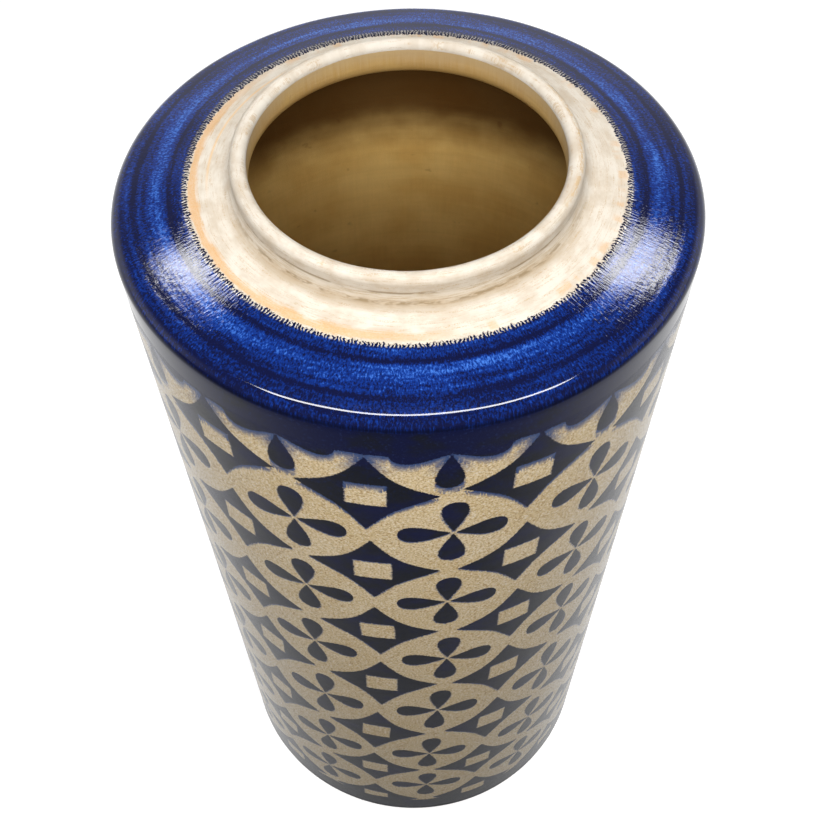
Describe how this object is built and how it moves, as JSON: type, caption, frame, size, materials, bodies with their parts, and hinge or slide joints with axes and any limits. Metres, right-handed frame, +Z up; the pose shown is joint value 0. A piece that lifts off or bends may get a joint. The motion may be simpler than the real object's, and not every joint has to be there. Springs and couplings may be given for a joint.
{
  "type": "pottery vase",
  "caption": "Tall glazed pottery vase: slightly tapered cylinder, sloped cobalt shoulder and short bare rolled neck, painted with a stencilled lattice of stars and petals.",
  "frame": {"origin": "centre of the foot, on the surface that the vase stands on", "axes": "+Z up along the axis of turning; the body is round, so +X and +Y are free; the painted pattern faces -Y as seen"},
  "size_m": [0.18, 0.18, 0.3621],
  "materials": {
    "clay": "matte bare fired clay",
    "crackle_glaze": "glossy sand glaze with fine crackle over dark navy stencil painting",
    "cobalt_glaze": "glossy brushed cobalt",
    "foot_glaze": "glossy dark blue-grey",
    "slip": "matte white slip with rub marks"
  },
  "bodies": {
    "root": {"base": "clay", "body_wall": "clay", "shoulder": "clay", "neck": "clay", "wall_glaze": "crackle_glaze", "shoulder_glaze": "cobalt_glaze", "foot_glaze": "foot_glaze", "neck_slip": "slip"}
  },
  "joints": []
}
